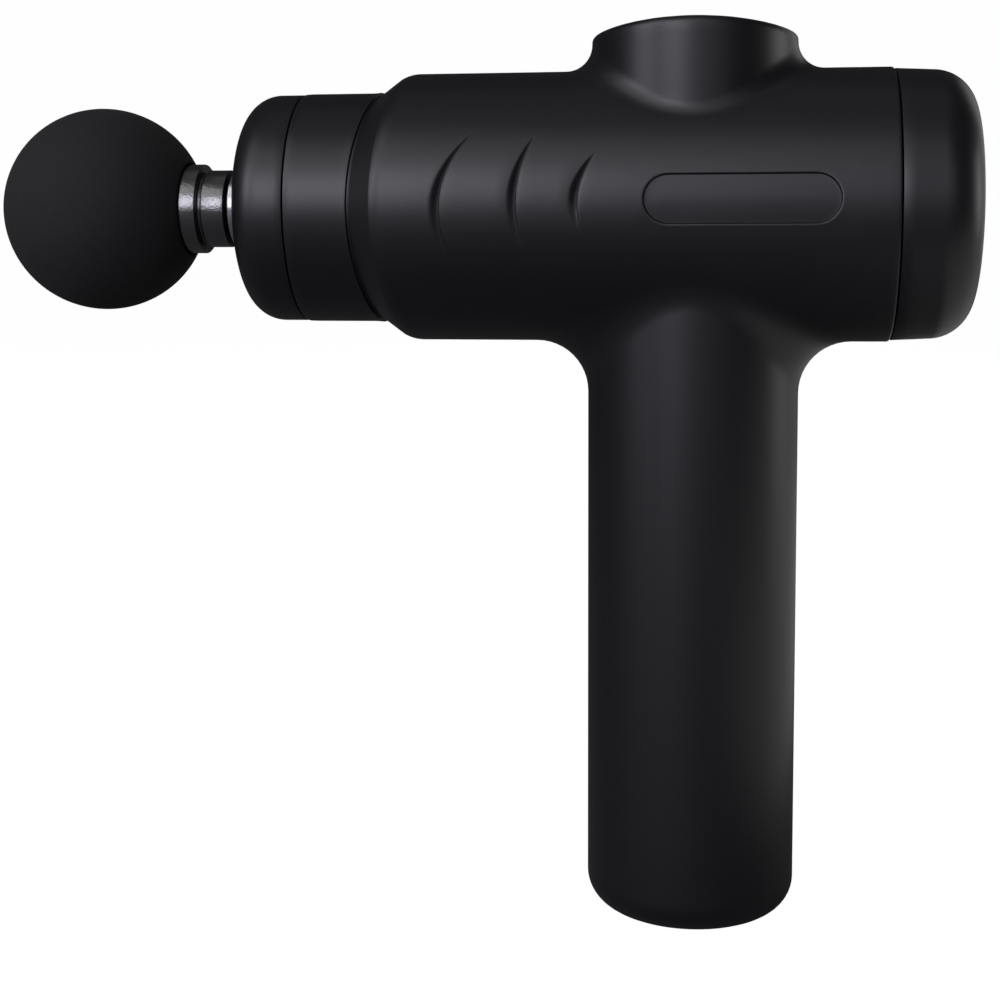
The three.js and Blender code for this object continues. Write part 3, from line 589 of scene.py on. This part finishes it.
# ------------------------------------------------------------------ caps, head and plunger
def make_nose():
    back, face = nose_high[0], nose_low[0]
    outer = nose_high[2] - AXIS_Z
    edge = 8.0
    hole = (plunger_high[2] - plunger_low[2]) / 2 + 0.9
    profile = [(outer - WALL, back), (outer - 0.35, back), (outer - 0.1, back - 0.1), (outer, back - 0.35)]
    profile += [(outer, back - 2.5)]
    profile += arc(outer - edge, face + edge, edge, 0, -90, 24)
    profile += arc(hole + 0.5, face + 0.5, 0.5, -90, -180, 4)
    profile += softened([(hole, face + 1.1), (hole + 3, face + 1.1), (hole + 3, face + 4.6),
                         (outer - edge, face + 4.6), (outer - WALL, face + edge), (outer - WALL, back)])
    return revolve(profile, "x").build("nose_cover", "housing", ["nose_cap"], slot="soft_touch_shell")


def make_rear():
    front, face = rear_low[0], rear_high[0]
    outer = rear_high[2] - AXIS_Z - 0.1
    edge = 10.0
    lens_r = (lens_high[2] - lens_low[2]) / 2
    rim = arc(outer - edge, face - 0.1 - edge, edge, 0, 80, 26)
    profile = [(outer - WALL, front), (outer - 0.3, front), (outer - 0.05, front + 0.1)]
    profile += [(outer + 0.05, front + 0.35), (outer - 0.08, front + 3), (outer - 0.2, front + 6)]
    profile += [(r - 0.2 - 0.15 * (1 - k / len(rim)), h) for k, (r, h) in enumerate(rim)]
    seat = lens_r + GAP
    profile += [(seat + 0.5, face - 0.12), (seat + 0.12, face - 0.2), (seat, face - 0.45)]
    profile += [(seat, face - 2.9), (lens_r - 2, face - 2.9), (lens_r - 2, face - 4.4)]
    profile += [(outer - edge, face - 4.4), (outer - WALL, face - edge - 0.5), (outer - WALL, front)]
    cap = revolve(profile, "x").build("rear_cover", "housing", ["rear_cap"], slot="soft_touch_shell")
    back, front_face = lens_low[0], lens_high[0] - 0.35
    glass = [(0, back), (lens_r - 0.2, back), (lens_r, back + 0.2)]
    glass += arc(lens_r - 0.5, front_face - 0.5, 0.5, 0, 80, 6)
    swell = ((0.85, 0.07), (0.6, 0.22), (0.3, 0.32), (0, 0.35))
    glass += [(lens_r * share, front_face + rise) for share, rise in swell]
    lens = revolve(glass, "x").build("display_glass", "housing", ["display_lens"], slot="gloss_black")
    return cap, lens


def make_ball():
    radius = (ball_high[2] - ball_low[2]) / 2
    centre = ball_low[0] + radius
    flat = ball_high[0]
    lean = math.degrees(math.acos((flat - centre) / radius))
    socket = 8.3
    profile = arc(0, centre, radius, -90, 90 - lean, 96)
    profile[0] = (0, centre - radius)
    collar, sunk = 11.35, flat - 2.2
    profile += [(collar + 0.12, flat - 0.06), (collar, flat - 0.4), (collar, sunk)]
    profile += [(socket, sunk), (socket, centre + 6), (0, centre + 6)]
    skin = revolve(profile, "x", segments=160)
    ball = skin.build("foam_ball", "head", ["head_ball"], sharp=60, slot="ball_foam")
    return ball


def make_stem():
    flat = ball_high[0]
    collar, collar_x, neck, lip, lip_x, shank_x = 11.0, -120.4, 8.6, 9.5, -119.3, -113.7
    shank, end = 6.3, stem_high[0]
    boss, collar_back = 8, flat - COLLAR_SINK
    groove_r, half_groove = 5.05, 1.1
    grooves = []
    for node in ("stem_o_ring_1", "stem_o_ring_2"):
        low, high = box_mm(node)
        middle = (low[0] + high[0]) / 2
        back, front = middle - half_groove, middle + half_groove
        grooves += [(shank, back), (groove_r, back), (groove_r, front), (shank, front)]
    profile = softened([
        (0, stem_low[0]), (boss, stem_low[0]), (boss, collar_back), (collar, collar_back), (collar, collar_x),
        (neck, collar_x), (neck, lip_x), (lip, lip_x), (lip, shank_x), (shank, shank_x), *grooves,
        (shank, end - 1.5), (shank - 0.8, end), (0, end),
    ], radius=0.35)
    return revolve(profile, "x").build("stem", "head", ["head_stem"], slot="dark_plastic")


def make_plunger():
    radius = (plunger_high[2] - plunger_low[2]) / 2
    face, end = plunger_low[0], plunger_high[0]
    bore, bore_end = 7.15, -92.0
    profile = softened([(0, end), (radius, end), (radius, face), (bore, face), (bore, bore_end),
                        (0, bore_end)], radius=0.45)
    piece = revolve(profile, "x").build("plunger_tube", "piston", ["plunger"], slot="polished_steel")
    wrist_low, wrist_high = box_mm("wrist_pin")
    wrist_x = (wrist_low[0] + wrist_high[0]) / 2
    cut_box(piece, (wrist_x - 7.5, -12, -3.4), (end + 2, 12, 3.4))
    cut_round(piece, (wrist_x, 0), 2.8, -15, 15)
    return piece


def cut(piece, skin, lift=None):
    """Takes a closed skin's volume out of a piece."""
    tool = skin.build("cutter", "housing", lift=lift)
    boolean = piece.modifiers.new("cut", "BOOLEAN")
    boolean.object = tool
    boolean.solver = "EXACT"
    bpy.context.view_layer.update()
    evaluated = piece.evaluated_get(bpy.context.evaluated_depsgraph_get())
    mesh = bpy.data.meshes.new_from_object(evaluated)
    piece.modifiers.remove(boolean)
    piece.data = mesh
    mesh.set_sharp_from_angle(angle=math.radians(32))
    bpy.data.objects.remove(tool)


def block(low, high):
    """A closed box between two corners."""
    skin = Skin()
    corners = [skin.add((x, y, z))
               for x in (low[0], high[0]) for y in (low[1], high[1]) for z in (low[2], high[2])]
    skin.faces = [[corners[i] for i in f] for f in
                  ((0, 1, 3, 2), (4, 6, 7, 5), (0, 4, 5, 1), (2, 3, 7, 6), (0, 2, 6, 4), (1, 5, 7, 3))]
    return facing_out(skin)


def cut_box(piece, low, high, lift=None):
    cut(piece, block(low, high), lift)


def cut_round(piece, centre, radius, low, high, lift=None):
    cut(piece, revolve([(0, low), (radius, low), (radius, high), (0, high)], "z", 48, centre), lift)


# ------------------------------------------------------------------ under the handle
ROCKER_PIVOT_Z = 4.6
ROCKER_TILT = math.radians(8)
ROCKER_HALF = 3.2  # half its width across


def rounded_edges(piece, width, segments=3):
    """Small rounds on a piece's sharp edges."""
    edge = piece.modifiers.new("edges", "BEVEL")
    edge.width = width * MM
    edge.segments = segments
    edge.limit_method = "ANGLE"
    edge.angle_limit = math.radians(30)


def make_base():
    """The plate under the handle, with the openings for the switch and the charging jack."""
    rocker_x = (rocker_low[0] + rocker_high[0]) / 2
    jack_x = (jack_low[0] + jack_high[0]) / 2
    brim = (plate_high[0] - plate_low[0]) / 2
    radius = brim - 4.2
    step, top = 2.5, plate_high[2]
    profile = softened([(0, 0), (radius, 0), (radius, step), (brim, step), (brim, top), (0, top)], radius=0.3)
    piece = revolve(profile, "z")
    piece = piece.build("end_plate", "housing", ["handle_end_plate"], lift=0, slot="dark_plastic")
    cut_box(piece, (rocker_x - 4.5, -7.3, -5), (rocker_x + 4.5, 7.3, 15), lift=0)
    cut_round(piece, (jack_x, 0), 5.1, -5, 15, lift=0)

    well = block((rocker_x - 4.2, -7, 0.1), (rocker_x + 4.2, 7, 11))
    well = well.build("rocker_well", "housing", ["rocker_housing"], lift=0, slot="dark_plastic")
    cut_box(well, (rocker_x - 3.5, -6.3, -5), (rocker_x + 3.5, 6.3, 9.8), lift=0)
    rounded_edges(well, 0.15)

    jack = softened([(0, 12), (4.8, 12), (4.8, 0.2), (3.2, 0.2), (3.2, 9.8), (1, 9.8), (1, 1.8), (0, 1.4)],
                    radius=0.25)
    jack = revolve(jack, "z", centre=(jack_x, 0))
    jack.build("jack_barrel", "housing", ["charging_jack"], lift=0, slot="dark_plastic")
    return rocker_x


def make_rocker(rocker_x):
    """The power rocker: a dished underside and a keel round its pivot, in the tilted rest position."""
    dish = [(y, -3 + 0.6 * (1 - (y / 5.6) ** 2)) for y in np.linspace(-5.6, 5.6, 15)]
    outline = dish + [(5.2, 1.5), (1.5, 3.2), (-1.5, 3.2), (-5.2, 1.5)]
    skin = Skin()
    ends = []
    for x in (rocker_x - ROCKER_HALF, rocker_x + ROCKER_HALF):
        tilted = [(y * math.cos(ROCKER_TILT) - z * math.sin(ROCKER_TILT),
                   y * math.sin(ROCKER_TILT) + z * math.cos(ROCKER_TILT)) for y, z in outline]
        ends.append([skin.add((x, y, ROCKER_PIVOT_Z + z)) for y, z in tilted])
    skin.grid([end + end[:1] for end in ends])
    skin.faces += [ends[0][::-1], ends[1]]
    rocker = facing_out(skin)
    rocker = rocker.build("rocker_key", "switch", ["power_rocker"], lift=0, sharp=20, slot="gloss_black")
    rounded_edges(rocker, 0.3)
    return rocker


# ------------------------------------------------------------------ materials
def shader(name, color, roughness, **sockets):
    material = bpy.data.materials.new(name)
    material.use_nodes = True
    tree = material.node_tree
    bsdf = tree.nodes["Principled BSDF"]
    bsdf.inputs["Base Color"].default_value = (*color, 1)
    bsdf.inputs["Roughness"].default_value = roughness
    for key, value in sockets.items():
        bsdf.inputs[key.replace("_", " ")].default_value = value
    return material, tree, bsdf


def add_grain(tree, bsdf, scale, height, color=None, spread=0.1, rough=None, detail=4.0):
    """Fine bump from noise, its scale and height in millimetres, with a little colour variation."""
    coordinates = tree.nodes.new("ShaderNodeTexCoord")
    noise = tree.nodes.new("ShaderNodeTexNoise")
    noise.inputs["Scale"].default_value = 1000.0 / scale
    noise.inputs["Detail"].default_value = detail
    tree.links.new(coordinates.outputs["Object"], noise.inputs["Vector"])
    bump = tree.nodes.new("ShaderNodeBump")
    bump.inputs["Strength"].default_value = 1.0
    bump.inputs["Distance"].default_value = height * MM
    tree.links.new(noise.outputs["Fac"], bump.inputs["Height"])
    tree.links.new(bump.outputs["Normal"], bsdf.inputs["Normal"])
    if color:
        ramp = tree.nodes.new("ShaderNodeMapRange")
        ramp.inputs["To Min"].default_value = 1 - spread
        ramp.inputs["To Max"].default_value = 1 + spread
        cloud = tree.nodes.new("ShaderNodeTexNoise")
        cloud.inputs["Scale"].default_value = 1000.0 / (scale * 14)
        cloud.inputs["Detail"].default_value = 3.0
        tree.links.new(coordinates.outputs["Object"], cloud.inputs["Vector"])
        tree.links.new(cloud.outputs["Fac"], ramp.inputs["Value"])
        tint = tree.nodes.new("ShaderNodeVectorMath")
        tint.operation = "SCALE"
        tint.inputs[0].default_value = color
        tree.links.new(ramp.outputs["Result"], tint.inputs["Scale"])
        tree.links.new(tint.outputs["Vector"], bsdf.inputs["Base Color"])
    if rough:
        spreader = tree.nodes.new("ShaderNodeMapRange")
        spreader.inputs["To Min"].default_value = rough[0]
        spreader.inputs["To Max"].default_value = rough[1]
        tree.links.new(noise.outputs["Fac"], spreader.inputs["Value"])
        tree.links.new(spreader.outputs["Result"], bsdf.inputs["Roughness"])


def make_materials():
    looks = {}

    def look(slot, color, roughness, grain, height, spread=0.1, rough=None, **sockets):
        material, tree, bsdf = shader(slot, color, roughness, **sockets)
        add_grain(tree, bsdf, grain, height, color, spread, rough)
        looks[slot] = material

    look("soft_touch_shell", (0.0043, 0.0041, 0.0054), 0.41, 0.28, 0.012, 0.06, (0.37, 0.43))
    look("ball_foam", (0.005, 0.005, 0.0056), 0.85, 0.35, 0.05, 0.15, (0.8, 0.95))
    look("dark_plastic", (0.008, 0.008, 0.009), 0.3, 0.45, 0.05, 0.1, (0.25, 0.38))
    look("crinkled_stem", (0.006, 0.006, 0.007), 0.2, 0.5, 0.08, 0.1, (0.15, 0.24),
         Specular_IOR_Level=1.0, IOR=1.75)
    look("gloss_black", (0.004, 0.004, 0.005), 0.08, 3.0, 0.002, 0.05, (0.06, 0.1))
    look("rubber_black", (0.012, 0.012, 0.013), 0.75, 0.3, 0.02, 0.15, (0.7, 0.85))
    look("polished_steel", (0.48, 0.49, 0.51), 0.22, 0.15, 0.003, 0.05, (0.18, 0.28), Metallic=1.0)
    look("cast_aluminium", (0.42, 0.43, 0.45), 0.42, 0.5, 0.03, 0.08, (0.38, 0.5), Metallic=1.0)
    look("copper_wire", (0.45, 0.17, 0.07), 0.35, 0.4, 0.05, 0.2, (0.3, 0.45), Metallic=1.0)
    look("nickel_tab", (0.6, 0.57, 0.5), 0.3, 0.2, 0.004, 0.05, (0.25, 0.38), Metallic=1.0)
    look("core_steel", (0.09, 0.095, 0.105), 0.45, 0.3, 0.02, 0.1, (0.4, 0.55), Metallic=0.8)
    look("cell_sleeve", (0.027, 0.155, 0.12), 0.35, 1.5, 0.006, 0.06, (0.3, 0.4))
    look("circuit_board", (0.007, 0.06, 0.025), 0.4, 0.8, 0.01, 0.25, (0.3, 0.5))
    look("lead_red", (0.33, 0.012, 0.01), 0.45, 0.3, 0.01, 0.08, (0.4, 0.5))
    look("lead_black", (0.007, 0.007, 0.007), 0.45, 0.3, 0.01, 0.08, (0.4, 0.5))
    look("lead_yellow", (0.56, 0.32, 0.01), 0.45, 0.3, 0.01, 0.08, (0.4, 0.5))
    return looks


def dress(looks):
    slots = {s["node"]: s["material_slot"] for s in frame["record"]["subparts"]}
    for node, piece in frame["nodes"].items():
        piece.data.materials.clear()
        piece.data.materials.append(looks[slots[node]])
    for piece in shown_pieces():
        if "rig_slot" in piece:
            piece.data.materials.clear()
            crinkled = piece.name == "stem"
            piece.data.materials.append(looks["crinkled_stem" if crinkled else piece["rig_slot"]])


# ------------------------------------------------------------------ stage, light and camera
AMBIENT = (0.042, 0.042, 0.044)
BACKDROP = 0.99
FLOOR_ALBEDO = 0.16
FLOOR_GLOW = 0.975


def make_stage():
    bpy.ops.mesh.primitive_circle_add(vertices=96, radius=6.0, fill_type="NGON", location=(0, 0, -0.0002))
    floor = bpy.context.object
    floor.name = "floor"
    material, tree, bsdf = shader("floor_paper", (FLOOR_ALBEDO,) * 3, 0.9)
    glow = tree.nodes.new("ShaderNodeEmission")
    glow.inputs["Color"].default_value = (1, 1, 1, 1)
    glow.inputs["Strength"].default_value = FLOOR_GLOW
    both = tree.nodes.new("ShaderNodeAddShader")
    seen_or_not(tree, bsdf.outputs["BSDF"], both.outputs["Shader"], tree.nodes["Material Output"])
    tree.links.new(bsdf.outputs["BSDF"], both.inputs[0])
    tree.links.new(glow.outputs["Emission"], both.inputs[1])
    floor.data.materials.append(material)

    world = bpy.data.worlds.new("studio")
    bpy.context.scene.world = world
    world.use_nodes = True
    tree = world.node_tree
    dim = tree.nodes["Background"]
    dim.inputs["Color"].default_value = (*AMBIENT, 1)
    seen = tree.nodes.new("ShaderNodeBackground")
    seen.inputs["Color"].default_value = (BACKDROP, BACKDROP, BACKDROP, 1)
    seen_or_not(tree, dim.outputs["Background"], seen.outputs["Background"], tree.nodes["World Output"])


def seen_or_not(tree, lighting, seen, output):
    """The studio's own light stays dim and its paper stays white: the camera sees the second shader."""
    path = tree.nodes.new("ShaderNodeLightPath")
    mix = tree.nodes.new("ShaderNodeMixShader")
    tree.links.new(path.outputs["Is Camera Ray"], mix.inputs["Fac"])
    tree.links.new(lighting, mix.inputs[1])
    tree.links.new(seen, mix.inputs[2])
    tree.links.new(mix.outputs["Shader"], output.inputs["Surface"])


KEY_TINT = (0.9, 0.88, 1.0)


def softbox(name, azimuth, elevation, distance, width, height, watts, tint=(1, 1, 1),
            target=(-0.02, 0, 0.16)):
    """An area light aimed at the object. Azimuth 0 is in front (-Y), positive to the right (+X)."""
    a, e = math.radians(azimuth), math.radians(elevation)
    direction = Vector((math.sin(a) * math.cos(e), -math.cos(a) * math.cos(e), math.sin(e)))
    lamp = bpy.data.lights.new(name, "AREA")
    lamp.shape = "RECTANGLE"
    lamp.size, lamp.size_y = width, height
    lamp.energy = watts
    lamp.color = tint
    holder = bpy.data.objects.new(name, lamp)
    bpy.context.scene.collection.objects.link(holder)
    holder.location = Vector(target) + direction * distance
    holder.rotation_euler = direction.to_track_quat("Z", "Y").to_euler()
    return holder


def make_lights():
    softbox("key", -20, 18, 1.5, 0.66, 0.7, 8.6, KEY_TINT)
    softbox("key_left", -55, 18, 1.5, 0.5, 0.7, 6.6, KEY_TINT)
    softbox("key_right", 16, 18, 1.5, 1.0, 0.8, 2.0, KEY_TINT)
    softbox("sky_left", -50, 46, 1.5, 1.0, 0.6, 2.5)
    softbox("sky_front", 0, 46, 1.5, 1.0, 0.6, 1.7)
    softbox("top", 0, 88, 1.8, 1.6, 1.6, 1.3)
    softbox("rim", 108, 4, 1.5, 0.6, 0.7, 3.2)
    softbox("rim_back", 145, 8, 1.5, 0.5, 1.2, 1.6)
    # a card lying low behind the handle's right edge, facing up
    card = softbox("card", 90, -35, 0.5, 0.7, 0.9, 0.8, target=(0.04, 0.2, 0.29))
    card.rotation_euler = (math.pi, 0, 0)
    card.visible_camera = False


CAMERA = (10.24, -416.81, -4.04)  # from where the barrel's axis crosses the handle's, millimetres
YAW, PITCH, ROLL = -7.825, -5.513, -0.239
FOCAL = 61.90
SHIFT_Y = -0.11


def make_camera():
    camera = bpy.data.cameras.new("camera")
    camera.lens = FOCAL
    camera.sensor_width = 36.0
    camera.shift_y = SHIFT_Y
    camera.clip_start = 0.01
    camera.clip_end = 50.0
    holder = bpy.data.objects.new("camera", camera)
    bpy.context.scene.collection.objects.link(holder)
    yaw, pitch, roll = (math.radians(v) for v in (YAW, PITCH, ROLL))
    forward = Vector((math.sin(yaw) * math.cos(pitch), math.cos(yaw) * math.cos(pitch), math.sin(pitch)))
    level = Vector((math.cos(yaw), -math.sin(yaw), 0))
    up = level.cross(forward)
    right = level * math.cos(roll) + up * math.sin(roll)
    upward = up * math.cos(roll) - level * math.sin(roll)
    place = Vector(CAMERA) * MM + Vector((0, 0, AXIS_Z * MM))
    axes = Matrix((right, upward, -forward)).transposed()
    holder.matrix_world = Matrix.Translation(place) @ axes.to_4x4()
    bpy.context.scene.camera = holder


list(make_body())
make_nose()
make_rear()
make_ball()
make_stem()
make_plunger()
make_rocker(make_base())
dress(make_materials())
make_stage()
make_lights()
make_camera()
bpy.context.scene.view_settings.view_transform = "Standard"

bpy.context.view_layer.update()
